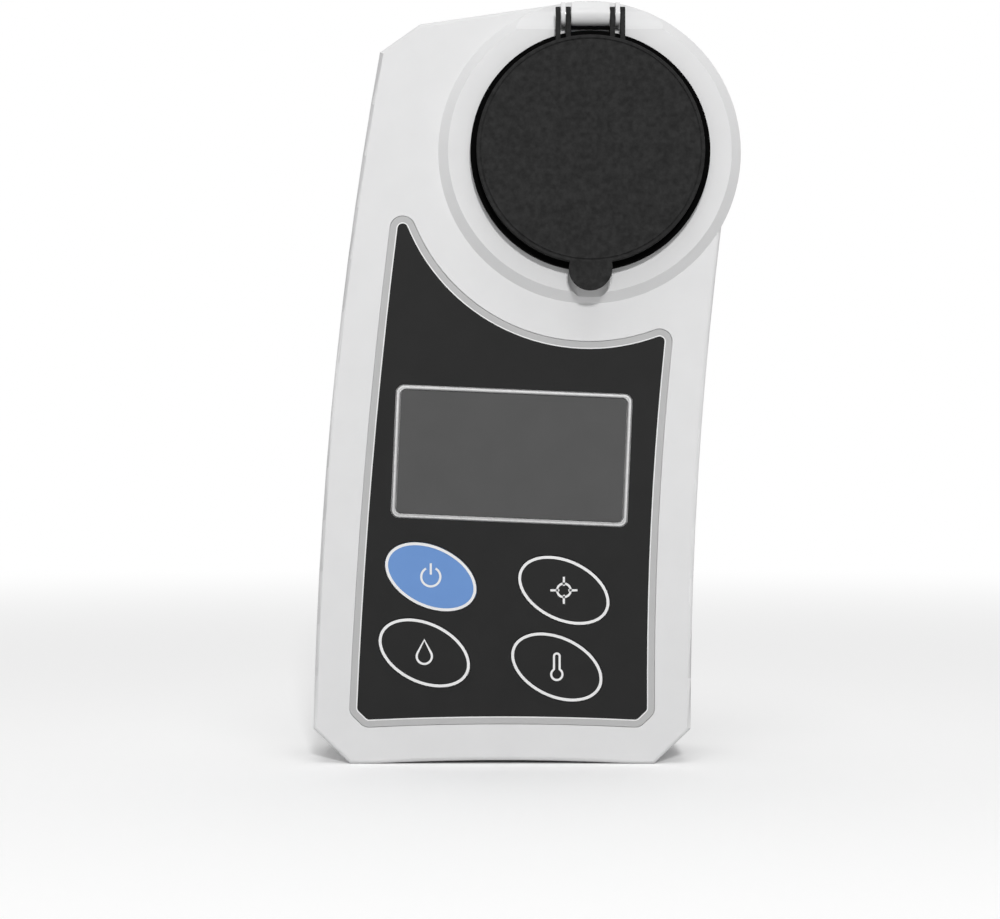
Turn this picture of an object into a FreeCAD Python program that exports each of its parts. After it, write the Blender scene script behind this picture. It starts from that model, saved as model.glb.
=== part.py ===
import FreeCAD, Part
import math
import os
import re
import Sketcher

# Handheld digital refractometer that stands on its lower edge.
# X is to the right, Z is up and the display faces -Y. The origin lies under the middle of the whole object.
# Sizes are in millimetres. While the pieces are drawn, X starts at the middle of the foot and a depth is
# counted forward from the middle of the body, so that depth = -Y.

SIZES = {
    # Body outline
    "base_half_width": 27.0,
    "side_half_width": 33.5,
    "corner_rise": 6.2,
    "base_land": 4.0,
    "base_arch_rise": 0.6,
    "left_top_x": -21.7,
    "left_top_z": 126.3,
    "left_bow": 2.4,
    "top_left_x": -14.6,
    "top_left_z": 131.3,
    "right_waist_z": 95.4,
    "right_bow": 1.4,
    "head_x": 15.5,
    "head_z": 108.5,
    "ring_margin": 5.75,
    # Body depth
    "half_depth": 14.5,
    "wall": 2.2,
    "front_edge_round": 0.7,
    "back_edge_round": 1.7,
    "parting_depth": -2.0,
    "gasket_thick": 0.8,
    "gasket_inset": 0.35,
    "gasket_width": 1.3,
    # Raised head and its sloping top
    "ring_rise": 1.8,
    "crown_beyond_rim": 0.6,
    "crown_drop": 1.7,
    "crown_run": 3.4,
    "crown_bow": 0.4,
    # Recessed membrane panel
    "panel_border": 1.5,
    "panel_recess": 0.5,
    "overlay_thick": 0.4,
    "panel_base_half": 23.85,
    "panel_base_z": 7.95,
    "panel_arch_rise": 0.6,
    "panel_side_half": 25.6,
    "panel_corner_rise": 1.7,
    "panel_left_top_x": -18.2,
    "panel_left_top_z": 98.4,
    "panel_left_bow": 0.95,
    "panel_right_top_x": 28.85,
    "panel_right_bow": 0.95,
    "panel_arc_radius": 35.0,
    "panel_peak_radius": 0.8,
    # Display
    "display_x": 1.7,
    "display_z": 54.65,
    "display_width": 41.9,
    "display_height": 23.6,
    "display_tilt": 2.4,
    "bezel_width": 0.8,
    "bezel_thick": 0.6,
    "bezel_corner": 1.4,
    "bezel_bevel": 0.18,
    "overlay_play": 0.08,
    "window_play": 0.08,
    "window_thick": 0.5,
    "lcd_thick": 2.4,
    "lcd_margin": 1.6,
    "lcd_grow": 0.5,
    "lcd_play": 0.1,
    "lcd_corner": 0.4,
    "holder_wall": 1.0,
    # Keys
    "key_length": 8.57,
    "key_height": 5.4,
    "key_tilt": 25.4,
    "key_gap": 0.15,
    "key_flange": 0.9,
    "key_flange_thick": 1.0,
    "key_play": 0.1,
    "key_travel": 0.4,
    "key_stem": 2.2,
    "key_proud": 0.1,
    "power_x": -12.65,
    "power_z": 33.2,
    "calibrate_x": 10.95,
    "calibrate_z": 30.8,
    "measure_x": -13.8,
    "measure_z": 19.7,
    "temperature_x": 9.7,
    "temperature_z": 17.2,
    # Sample stage
    "stage_x": 15.5,
    "stage_z": 108.3,
    "seat_inset": 3.1,
    "seat_depth": 1.8,
    "seat_land": 3.0,
    "seat_play": 0.1,
    "dish_flange_thick": 1.0,
    "dish_rim": 2.5,
    "dish_drop": 4.6,
    "dish_floor": 8.0,
    "dish_wall": 0.8,
    "window_radius": 5.5,
    "seal_inset": 1.0,
    "seal_width": 0.9,
    # Lid
    "lid_gap": 0.3,
    "lid_rim_radius": 21.1,
    "lid_rim_height": 1.6,
    "lid_step": 1.1,
    "lid_height": 4.3,
    "lid_plate": 1.9,
    "lid_wall": 2.0,
    "lid_edge_round": 0.2,
    "lid_groove_inset": 0.7,
    "lid_groove_width": 0.25,
    "lid_groove_deep": 0.2,
    "tab_radius": 3.8,
    "tab_inset": 0.3,
    "tab_thick": 2.5,
    "notch_radius": 3.9,
    "notch_reach": 1.0,
    "notch_floor": 1.1,
    "pad_width": 2.2,
    "pad_gap": 0.02,
    # Hinge
    "pin_rise": 1.4,
    "pin_beyond_rim": 2.9,
    "pin_radius": 0.9,
    "pin_fit": 0.03,
    "pin_run": 0.07,
    "knuckle_radius": 1.95,
    "barrel_half": 3.35,
    "facet_angle": 30.0,
    "lug_width": 0.85,
    "lug_radius": 1.35,
    "bar_thick": 0.45,
    "bar_deep": 1.0,
    "ear_width": 0.75,
    "knuckle_gap": 0.1,
    # Screws and bosses
    "boss_radius": 3.0,
    "head_screw_inset": 4.65,
    "head_screw_angle": 35.8,
    "screw_radius": 1.17,
    "screw_pilot": 1.2,
    "screw_hole": 1.45,
    "screw_head_radius": 2.4,
    "screw_head_thick": 1.4,
    "screw_head_play": 0.2,
    "screw_bite": 7.0,
    "screw_spare": 1.0,
    "screw_pocket_wall": 1.0,
    "screw_pocket_deep": 5.0,
    "socket_radius": 0.6,
    "small_shank": 0.87,
    "small_head": 1.6,
    "small_head_thick": 1.0,
    # Circuit board
    "board_drop": 8.5,
    "board_thick": 1.6,
    "board_half_width": 22.0,
    "board_low_z": 11.0,
    "board_high_z": 75.0,
    "board_screw_radius": 0.9,
    "board_boss_wall": 1.2,
    "board_pilot_deep": 4.0,
    "board_bite": 3.5,
    "switch_side": 6.0,
    "switch_tall": 3.4,
    "plunger_radius": 1.7,
    "plunger_tall": 0.8,
    "chip_x": 8.0,
    "chip_z": 68.5,
    "chip_half": 3.0,
    "chip_thick": 1.2,
    "nub_gap": 0.45,
    # Battery bay
    "cell_radius": 5.15,
    "cell_length": 43.6,
    "cell_nub_radius": 1.9,
    "cell_nub_length": 0.8,
    "cell_pitch": 11.2,
    "cell_play": 0.35,
    "bay_low_z": 15.0,
    "spring_room": 1.5,
    "bay_wall": 2.8,
    "door_thick": 1.8,
    "door_lip": 2.0,
    "door_play": 0.2,
    "door_corner": 2.5,
    "door_seal_width": 1.0,
    "door_seal_thick": 0.6,
    "door_tab": 5.5,
    "door_post": 6.0,
    "door_post_wall": 1.6,
    "door_screw_spare": 1.0,
    "bay_roof": 1.4,
    "door_edge_round": 0.4,
    "door_screw_head": 1.7,
    "grip_count": 5,
    "grip_pitch": 2.4,
    "grip_half": 7.0,
    "grip_deep": 0.5,
    "contact_thick": 0.35,
    "contact_half": 4.2,
    "spring_reach": 3.0,
    "spring_thick": 0.3,
    # Optical block
    "optics_depth": 10.0,
    "optics_slant_gap": 1.5,
    "ear_thick": 3.0,
    "optics_ear_thick": 1.6,
    "optics_screw_reach": 3.0,
    "light_focus": 1.4,
    "prism_half_width": 5.0,
    "prism_half_height": 3.8,
    "prism_deep": 4.4,
    "prism_land": 0.5,
    "prism_play": 0.1,
    "lamp_radius": 2.4,
    "lens_radius": 2.9,
    "lens_thick": 1.5,
    "lens_to_sensor": 3.2,
    "sensor_board_thick": 1.2,
    "sensor_board_width": 8.4,
    "sensor_length": 4.3,
    "sensor_width": 2.4,
    "sensor_thick": 0.9,
    "probe_radius": 1.0,
    "probe_length": 3.0,
    "probe_rise": 6.3,
    "cable_radius": 0.9,
    "cable_bend": 2.0,
    "cable_inset": 3.0,
    "cable_drop": 9.0,
    "cable_loop": 4.5,
    "cable_rise": 12.0,
    "bore_start": 0.5,
    "lamp_length": 3.3,
    "lamp_flange": 0.8,
    "optics_half_width": 8.8,
    "optics_half_height": 8.5,
}

doc = FreeCAD.newDocument("refractometer")
sheet = doc.addObject("Spreadsheet::Sheet", "Dims")
for row, (alias, value) in enumerate(SIZES.items(), start=1):
    sheet.set("A%d" % row, alias)
    sheet.set("B%d" % row, str(value))
    sheet.setAlias("B%d" % row, alias)
doc.recompute()

ALIAS = re.compile(r"\b(" + "|".join(sorted(SIZES, key=len, reverse=True)) + r")\b")
NODES = []


# Reads one size from the sheet.
def size(alias):
    return float(sheet.get(alias))


# Ties one property of an object to a formula in the sheet's names.
def bind(thing, prop, formula):
    thing.setExpression(prop, ALIAS.sub(r"Dims.\1", str(formula)))


# Front-view vector from a place across, a place up and a depth.
def point(x, z, depth=0.0):
    return FreeCAD.Vector(x, -depth, z)


# A named body that will hold one separate piece.
def new_body(name):
    body = doc.addObject("PartDesign::Body", name)
    body.Label = name
    NODES.append(body)
    return body


# A sketch on the body's own front, side or top plane, moved along that plane's normal.
def new_sketch(body, plane, offset):
    role = {"front": "XZ_Plane", "side": "YZ_Plane", "top": "XY_Plane"}[plane]
    origin_plane = [f for f in body.Origin.OriginFeatures if f.Role == role][0]
    sketch = body.newObject("Sketcher::SketchObject", body.Name + "_sketch")
    sketch.AttachmentSupport = (origin_plane, [""])
    sketch.MapMode = "FlatFace"
    bind(sketch, "AttachmentOffset.Base.z", offset)
    return sketch


def constrain(sketch, formula, *args):
    sketch.addConstraint(Sketcher.Constraint(*args, 1.0))
    bind(sketch, "Constraints[%d]" % (sketch.ConstraintCount - 1), formula)


# A circle whose middle and radius follow the sheet.
def add_circle(sketch, across, up, radius):
    index = sketch.addGeometry(Part.Circle(FreeCAD.Vector(1, 1, 0), FreeCAD.Vector(0, 0, 1), 1), False)
    constrain(sketch, radius, "Radius", index)
    constrain(sketch, across, "DistanceX", -1, 1, index, 3)
    constrain(sketch, up, "DistanceY", -1, 1, index, 3)


# A rectangle whose low and high corners follow the sheet.
def add_rectangle(sketch, left, low, right, high):
    corners = [FreeCAD.Vector(*c, 0) for c in ((1, 1), (2, 1), (2, 2), (1, 2))]
    first = sketch.GeometryCount
    for i in range(4):
        sketch.addGeometry(Part.LineSegment(corners[i], corners[(i + 1) % 4]), False)
    for i in range(4):
        sketch.addConstraint(Sketcher.Constraint("Coincident", first + i, 2, first + (i + 1) % 4, 1))
        sketch.addConstraint(Sketcher.Constraint("Vertical" if i % 2 else "Horizontal", first + i))
    constrain(sketch, left, "DistanceX", -1, 1, first, 1)
    constrain(sketch, low, "DistanceY", -1, 1, first, 1)
    constrain(sketch, right, "DistanceX", -1, 1, first + 2, 1)
    constrain(sketch, high, "DistanceY", -1, 1, first + 2, 1)


# Copies a closed wire of lines and arcs, drawn in front view, into a front sketch.
def add_wire(sketch, wire):
    for edge in wire.Edges:
        ends = [edge.valueAt(p) for p in (edge.FirstParameter, edge.LastParameter)]
        middle = edge.valueAt((edge.FirstParameter + edge.LastParameter) / 2)
        flat = [FreeCAD.Vector(p.x, p.z, 0) for p in (ends[0], middle, ends[1])]
        if edge.Curve.TypeId == "Part::GeomLine":
            sketch.addGeometry(Part.LineSegment(flat[0], flat[2]), False)
        elif edge.Curve.TypeId == "Part::GeomEllipse":
            centre, major = edge.Curve.Center, edge.valueAt(edge.FirstParameter)
            minor = edge.valueAt(edge.FirstParameter + math.pi / 2)
            flat = [FreeCAD.Vector(p.x, p.z, 0) for p in (major, minor, centre)]
            sketch.addGeometry(Part.Ellipse(*flat), False)
        else:
            sketch.addGeometry(Part.Arc(*flat), False)


# Fails loudly when a feature did not change its body's volume.
def checked(body, feature, before, sign):
    doc.recompute()
    change = body.Shape.Volume - before
    if change * sign <= 1e-6 or body.Shape.Volume <= 0:
        raise RuntimeError("%s of %s changed the volume by %g" % (feature.Name, body.Name, change))
    return feature


def volume(body):
    return body.Shape.Volume if body.Tip and not body.Shape.isNull() else 0.0


def pad(body, sketch, length, back=False):
    before = volume(body)
    feature = body.newObject("PartDesign::Pad", body.Name + "_pad")
    feature.Profile = sketch
    feature.Reversed = back
    bind(feature, "Length", length)
    return checked(body, feature, before, 1)


def pocket(body, sketch, length, ahead=False):
    before = volume(body)
    feature = body.newObject("PartDesign::Pocket", body.Name + "_pocket")
    feature.Profile = sketch
    feature.Reversed = ahead
    bind(feature, "Length", length)
    return checked(body, feature, before, -1)


# Rounds or bevels the edges of the body that a test picks out.
def dress(body, kind, amount, wanted):
    before = body.Shape.Volume
    base = body.Tip
    names = ["Edge%d" % (i + 1) for i, e in enumerate(base.Shape.Edges) if wanted(e)]
    feature = body.newObject("PartDesign::" + kind, body.Name + "_" + kind.lower())
    feature.Base = (base, names)
    bind(feature, "Radius" if kind == "Fillet" else "Size", amount)
    return checked(body, feature, before, -1)


def at_depth(edge, depth):
    places = [edge.valueAt(edge.FirstParameter + share * (edge.LastParameter - edge.FirstParameter))
              for share in (0, 0.5, 1)]
    return all(abs(-place.y - depth) < 1e-4 for place in places)


# An arc from one front-view place to another that bulges to its left by a bow (or right, if negative).
def bowed(start, end, bow):
    along = end - start
    left = FreeCAD.Vector(-along.z, 0, along.x).normalize()
    return Part.Arc(start, start + along * 0.5 + left * bow, end).toShape()


def line(start, end):
    return Part.LineSegment(start, end).toShape()


# Radius of the round head, a margin outside the lid.
def head_radius():
    return size("lid_rim_radius") + size("ring_margin")


# Outline of the body seen from the front.
def body_outline():
    base, side, rise = size("base_half_width"), size("side_half_width"), size("corner_rise")
    centre = point(size("head_x"), size("head_z"))
    radius = head_radius()
    base_left, base_right = point(-base, 0), point(base, 0)
    side_left, side_right = point(-side, rise), point(side, rise)
    left_top = point(size("left_top_x"), size("left_top_z"))
    top_left = point(size("top_left_x"), size("top_left_z"))
    waist_z = size("right_waist_z")
    waist = point(centre.x + math.sqrt(radius ** 2 - (waist_z - centre.z) ** 2), waist_z)
    # The straight top edge runs on as a tangent of the head circle.
    gap = centre - top_left
    reach = math.hypot(gap.x, gap.z)
    turn = math.atan2(gap.z, gap.x) + math.asin(radius / reach)
    run = math.sqrt(reach ** 2 - radius ** 2)
    touch = top_left + point(run * math.cos(turn), run * math.sin(turn))
    half_way = (math.atan2(waist.z - centre.z, waist.x - centre.x)
                + math.atan2(touch.z - centre.z, touch.x - centre.x)) / 2
    side_of_head = centre + point(radius * math.cos(half_way), radius * math.sin(half_way))
    land_left, land_right = point(size("base_land") - base, 0), point(base - size("base_land"), 0)
    return Part.Wire([
        line(base_left, land_left),
        bowed(land_left, land_right, size("base_arch_rise")),
        line(land_right, base_right),
        line(base_right, side_right),
        bowed(side_right, waist, size("right_bow")),
        Part.Arc(waist, side_of_head, touch).toShape(),
        line(touch, top_left),
        line(top_left, left_top),
        bowed(left_top, side_left, -size("left_bow")),
        line(side_left, base_left),
    ])


# Outline of the dark printed field, which curves round the head at its top.
def panel_outline():
    half, side, low = size("panel_base_half"), size("panel_side_half"), size("panel_base_z")
    centre = point(size("head_x"), size("head_z"))
    radius = size("panel_arc_radius")
    base_left, base_right = point(-half, low), point(half, low)
    side_left, side_right = [point(x, low + size("panel_corner_rise")) for x in (-side, side)]
    peak_z = size("panel_left_top_z")
    peak = point(centre.x - math.sqrt(radius ** 2 - (peak_z - centre.z) ** 2), peak_z)
    right_x = size("panel_right_top_x")
    right_top = point(right_x, centre.z - math.sqrt(radius ** 2 - (right_x - centre.x) ** 2))
    half_way = (math.atan2(right_top.z - centre.z, right_top.x - centre.x)
                + math.atan2(peak.z - centre.z, peak.x - centre.x)) / 2
    bottom_of_arc = centre + point(radius * math.cos(half_way), radius * math.sin(half_way))
    return Part.Wire([
        bowed(base_left, base_right, size("panel_arch_rise")),
        line(base_right, side_right),
        bowed(side_right, right_top, size("panel_right_bow")),
        Part.Arc(right_top, bottom_of_arc, peak).toShape(),
        bowed(peak, side_left, -size("panel_left_bow")),
        line(side_left, base_left),
    ])


# A closed wire moved outward by a distance, or inward if negative, with round or sharp corners.
def offset(wire, distance, sharp=False):
    return wire.makeOffset2D(distance, 2 if sharp else 0)


# The screw beside the lid, a little inside the round head's edge.
def head_screw():
    reach, angle = head_radius() - size("head_screw_inset"), math.radians(size("head_screw_angle"))
    return size("head_x") + reach * math.cos(angle), size("head_z") + reach * math.sin(angle)


BODY = body_outline()
PANEL_CORE = offset(panel_outline(), -size("panel_peak_radius"), sharp=True)
OVERLAY = offset(PANEL_CORE, size("panel_peak_radius") + size("panel_border"))
HOUSING_SCREWS = [(-28.4, 14.0), (28.6, 14.0), (-25.6, 60.0), (30.5, 60.0), (-17.4, 122.3), head_screw()]
BOARD_SCREWS = [(-18.5, 72.0), (18.5, 72.0), (-19.5, 13.2), (19.8, 21.5), (-1.0, 28.2)]
KEYS = ("power", "calibrate", "measure", "temperature")
RING = "half_depth + ring_rise"
OPTICS_FRONT = "half_depth + ring_rise - dish_drop - dish_wall"
OPTICS_EAR = "half_depth - wall - ear_thick"
RECESS = "half_depth - panel_recess"
BOARD_FRONT = "(half_depth - board_drop)"
PLUNGER_TIP = BOARD_FRONT + " + switch_tall + plunger_tall"
HEAD = "lid_rim_radius + ring_margin"
SEAT = "(lid_rim_radius - seat_inset)"
SEAT_BORE = "(%s - seat_land)" % SEAT
PIN_Z = "(stage_z + lid_rim_radius + pin_beyond_rim)"
BOARD_BOSS = "board_screw_radius + board_boss_wall"


# Places of the two screws that hold the optical block.
def optics_screws():
    return [("stage_x %s (%s + optics_screw_reach)" % (sign, SEAT_BORE), "stage_z") for sign in "-+"]


# The display's tilted rectangle, grown by a margin, with rounded corners.
def display_rectangle(margin, corner):
    half_width, half_height = size("display_width") / 2 + margin, size("display_height") / 2 + margin
    square = [point(x, z) for x, z in ((-half_width, -half_height), (half_width, -half_height),
                                       (half_width, half_height), (-half_width, half_height))]
    core = offset(Part.makePolygon(square + square[:1]), -corner, sharp=True)
    wire = offset(core, corner)
    wire.rotate(point(0, 0), FreeCAD.Vector(0, 1, 0), size("display_tilt"))
    wire.translate(point(size("display_x"), size("display_z")))
    return wire


# The tilted ellipse of one key, grown by a margin.
def key_ellipse(key, margin):
    length, height = size("key_length") + margin, size("key_height") + margin
    ellipse = Part.Ellipse(FreeCAD.Vector(0, 0, 0), length, height)
    wire = Part.Wire(ellipse.toShape())
    wire.rotate(FreeCAD.Vector(0, 0, 0), FreeCAD.Vector(0, 0, 1), -size("key_tilt"))
    wire.rotate(FreeCAD.Vector(0, 0, 0), FreeCAD.Vector(1, 0, 0), 90)
    wire.translate(point(size(key + "_x"), size(key + "_z")))
    return wire


# The body's outline as a solid block between two depths, with one end's edge rounded.
def blank(body, rear_end, front_end, rounded_end, radius):
    block = Part.Face(BODY).extrude(FreeCAD.Vector(0, -(front_end - rear_end), 0))
    block.translate(FreeCAD.Vector(0, -rear_end, 0))
    block = block.makeFillet(radius, [e for e in block.Edges if at_depth(e, rounded_end)])
    feature = doc.addObject("Part::Feature", body.Name + "_blank")
    feature.Shape = block
    body.BaseFeature = feature
    doc.recompute()


# Bow of the crown's cove and the hinge cheeks, drawn in side view where depth runs to the left.
def side_point(depth, z):
    return FreeCAD.Vector(-depth, z, 0)


# Front moulding: raised head, panel recess, hinge ears and barrel, finger notch, screw bosses.
def front_shell():
    body = new_body("front_shell")
    face = size("half_depth")
    blank(body, size("parting_depth"), face, face, size("front_edge_round"))
    sketch = new_sketch(body, "front", "parting_depth")
    add_circle(sketch, "head_x", "head_z", HEAD)
    pad(body, sketch, "half_depth - parting_depth")
    sketch = new_sketch(body, "front", "half_depth")
    add_circle(sketch, "head_x", "head_z", HEAD)
    head = body.newObject("PartDesign::Pad", "raised_head")
    head.Profile = sketch
    head.TaperAngle = -45
    bind(head, "Length", "ring_rise")
    doc.recompute()
    # Cove that lowers the crown behind the lid hinge.
    ring = size("half_depth") + size("ring_rise")
    crown = size("stage_z") + size("lid_rim_radius") + size("crown_beyond_rim")
    low, flat_z = ring - size("crown_drop"), crown + size("crown_run")
    top = size("head_z") + 2 * head_radius()
    sketch = new_sketch(body, "side", "-2 * side_half_width")
    corners = [side_point(ring, crown), side_point(low, flat_z), side_point(low, top),
               side_point(ring + 1, top), side_point(ring + 1, crown)]
    middle = (corners[0] + corners[1]) * 0.5 - FreeCAD.Vector(-1, 1, 0).normalize() * size("crown_bow")
    sketch.addGeometry(Part.Arc(corners[0], middle, corners[1]), False)
    for i in range(1, 5):
        sketch.addGeometry(Part.LineSegment(corners[i], corners[(i + 1) % 5]), False)
    pocket(body, sketch, "4 * side_half_width", ahead=True)
    # Inside of the shell.
    sketch = new_sketch(body, "front", "parting_depth")
    add_wire(sketch, offset(BODY, -size("wall")))
    pocket(body, sketch, "half_depth - wall - parting_depth", ahead=True)
    # Seat and bore for the sample dish.
    sketch = new_sketch(body, "front", RING)
    add_circle(sketch, "stage_x", "stage_z", SEAT + " + seat_play")
    pocket(body, sketch, "seat_depth")
    sketch = new_sketch(body, "front", RING)
    add_circle(sketch, "stage_x", "stage_z", SEAT_BORE)
    pocket(body, sketch, "ring_rise + wall + seat_play")
    # Finger notch under the lid's tab.
    sketch = new_sketch(body, "front", RING)
    add_circle(sketch, "stage_x", "stage_z - lid_rim_radius - notch_reach", "notch_radius")
    pocket(body, sketch, "ring_rise - notch_floor")
    # Recess for the membrane, with the display window's hole and the key holes.
    sketch = new_sketch(body, "front", "half_depth")
    add_wire(sketch, OVERLAY)
    pocket(body, sketch, "panel_recess")
    sketch = new_sketch(body, "front", "half_depth")
    add_wire(sketch, display_rectangle(-size("lcd_margin"), size("lcd_corner")))
    for key in KEYS:
        add_wire(sketch, key_ellipse(key, size("key_gap")))
    pocket(body, sketch, "wall")
    hinge_seats(body)
    # Bosses for the housing screws, the circuit board and the optical block.
    add_bosses(body, HOUSING_SCREWS, "parting_depth", "half_depth - wall", "boss_radius",
               "screw_pilot", "screw_bite + screw_spare")
    for places, rear_end in ((BOARD_SCREWS, BOARD_FRONT), (optics_screws(), OPTICS_EAR)):
        add_bosses(body, places, rear_end, "half_depth - wall", BOARD_BOSS, "board_screw_radius", "board_pilot_deep")
    return body


# A front-view sketch of equal circles.
def circles(body, depth, places, radius):
    sketch = new_sketch(body, "front", depth)
    for x, z in places:
        add_circle(sketch, x, z, radius)
    return sketch


# Posts between two depths, each with a blind pilot hole in its rear end.
def add_bosses(body, places, rear_end, front_end, radius, pilot, pilot_depth):
    pad(body, circles(body, rear_end, places, radius), "(%s) - (%s)" % (front_end, rear_end))
    pocket(body, circles(body, rear_end, places, pilot), pilot_depth, ahead=True)


# Ranges across for each knuckle of the lid hinge: the shell's barrel and ears, then the lid's lugs.
def knuckles():
    x, gap = size("stage_x"), size("knuckle_gap")
    barrel = size("barrel_half")
    inner_lug = barrel + gap + size("lug_width")
    ear = inner_lug + gap + size("ear_width")
    outer_lug = ear + gap + size("lug_width")
    shell = [(x - barrel, x + barrel)]
    lugs = []
    for side in (-1, 1):
        spans = [(inner_lug - size("lug_width"), inner_lug), (ear - size("ear_width"), ear),
                 (outer_lug - size("lug_width"), outer_lug)]
        spans = [tuple(sorted((x + side * a, x + side * b))) for a, b in spans]
        shell.append(spans[1])
        lugs += [spans[0], spans[2]]
    return shell, lugs, (x - outer_lug, x + outer_lug)


# Side-view outline of a knuckle about the pin: a round with a facet on legs that run back into the shell,
# or a smaller round on a leg that runs down to the lid's rim.
def knuckle_sketch(body, left, back_depth, down_z=None):
    sketch = new_sketch(body, "side", left)
    depth, z = pin_place()
    if down_z is None:
        radius, angle = size("knuckle_radius"), math.radians(size("facet_angle"))
        shoulder = side_point(depth + radius * math.cos(angle), z + radius * math.sin(angle))
        run = radius * (1 - math.sin(angle)) * math.tan(angle)
        ends = [side_point(depth, z - radius), shoulder]
        tip = side_point(depth + radius * math.cos(-angle), z + radius * math.sin(-angle))
        rest = [side_point(-shoulder.x - run, z + radius), side_point(back_depth, z + radius),
                side_point(back_depth, z - radius)]
    else:
        radius = size("lug_radius")
        rise = math.sqrt(radius ** 2 - (depth - back_depth) ** 2)
        ends = [side_point(depth + radius, z), side_point(back_depth, z + rise)]
        tip = side_point(depth, z + radius)
        rest = [side_point(back_depth, down_z), side_point(depth + radius, down_z)]
    sketch.addGeometry(Part.Arc(ends[0], tip, ends[1]), False)
    corners = [ends[1]] + rest + [ends[0]]
    for a, b in zip(corners, corners[1:]):
        sketch.addGeometry(Part.LineSegment(a, b), False)
    return sketch


# Depth and height of the hinge pin's axis.
def pin_place():
    return (size("half_depth") + size("ring_rise") + size("pin_rise"),
            size("stage_z") + size("lid_rim_radius") + size("pin_beyond_rim"))


# The shell's share of the lid hinge, bored for the pin.
def hinge_seats(body):
    shell, _, whole = knuckles()
    root = size("half_depth") - size("wall")
    for left, right in shell:
        pad(body, knuckle_sketch(body, left, root), right - left)
    sketch = new_sketch(body, "side", whole[0])
    add_circle(sketch, "-(%s + pin_rise)" % RING, PIN_Z, "pin_radius + pin_fit")
    pocket(body, sketch, whole[1] - whole[0], ahead=True)


REAR = "parting_depth - gasket_thick"
BACK = "-half_depth"
DOOR_SEAT = "door_thick + door_seal_thick - half_depth"
BAY_LENGTH = "(cell_length + cell_nub_length + 2 * contact_thick + 4 * cell_play + spring_room)"
BAY_TOP = "(bay_low_z + %s)" % BAY_LENGTH
BAY_HALF = "cell_pitch / 2 + cell_radius + cell_play"
CELL_DEPTH = "door_thick - half_depth + cell_play + cell_radius"
BAY_ROOF = "%s + cell_radius + cell_play" % CELL_DEPTH
DOOR_SCREWS = [("0", "bay_low_z - door_tab / 2"), ("0", BAY_TOP + " + door_tab / 2")]


# Rear moulding: screw bosses with sunk heads, battery bay, seat for the battery door.
def rear_shell():
    body = new_body("rear_shell")
    back = -size("half_depth")
    blank(body, back, size("parting_depth") - size("gasket_thick"), back, size("back_edge_round"))
    sketch = new_sketch(body, "front", "wall - half_depth")
    add_wire(sketch, offset(BODY, -size("wall")))
    pocket(body, sketch, "half_depth", ahead=True)
    inside = "wall - half_depth"
    pad(body, circles(body, inside, HOUSING_SCREWS, "screw_head_radius + screw_head_play + screw_pocket_wall"),
        "%s - (%s)" % (REAR, inside))
    battery_bay(body)
    pocket(body, circles(body, BACK, HOUSING_SCREWS, "screw_head_radius + screw_head_play"),
           "screw_pocket_deep", ahead=True)
    pocket(body, circles(body, BACK, HOUSING_SCREWS, "screw_hole"), "2 * half_depth", ahead=True)
    return body


# Walled bay that holds the two cells and opens to the back, with a ledge and posts for its door.
def battery_bay(body):
    inside = "wall - half_depth"
    sketch = new_sketch(body, "front", inside)
    add_rectangle(sketch, "-(%s) - bay_wall" % BAY_HALF, "bay_low_z - bay_wall",
                  "%s + bay_wall" % BAY_HALF, BAY_TOP + " + bay_wall")
    pad(body, sketch, "%s + bay_roof - (%s)" % (BAY_ROOF, inside))
    pad(body, circles(body, inside, DOOR_SCREWS, "board_screw_radius + door_post_wall"), "door_post")
    sketch = new_sketch(body, "front", BACK)
    add_wire(sketch, door_outline(size("door_play")))
    pocket(body, sketch, "door_thick + door_seal_thick", ahead=True)
    sketch = new_sketch(body, "front", BACK)
    add_rectangle(sketch, "-(%s)" % BAY_HALF, "bay_low_z", BAY_HALF, BAY_TOP)
    pocket(body, sketch, "%s + half_depth" % BAY_ROOF, ahead=True)
    pocket(body, circles(body, DOOR_SEAT, DOOR_SCREWS, "board_screw_radius"), "door_post - door_screw_spare", ahead=True)


# Height of the top of the battery bay.
def bay_top():
    length = size("cell_length") + size("cell_nub_length") + 2 * size("contact_thick") + 4 * size("cell_play")
    return size("bay_low_z") + length + size("spring_room")


# Outline of the battery door, grown by a margin.
def door_outline(margin):
    bay_half = size("cell_pitch") / 2 + size("cell_radius") + size("cell_play")
    half = bay_half + size("door_lip")
    low, high = size("bay_low_z") - size("door_tab"), bay_top() + size("door_tab")
    square = [point(-half, low), point(half, low), point(half, high), point(-half, high)]
    core = offset(Part.makePolygon(square + square[:1]), -size("door_corner"), sharp=True)
    return offset(core, size("door_corner") + margin)


# Seal that lies between the two housings.
def shell_gasket():
    body = new_body("shell_gasket")
    sketch = new_sketch(body, "front", REAR)
    add_wire(sketch, offset(BODY, -size("gasket_inset")))
    add_wire(sketch, offset(BODY, -size("gasket_inset") - size("gasket_width")))
    pad(body, sketch, "gasket_thick")


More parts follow.
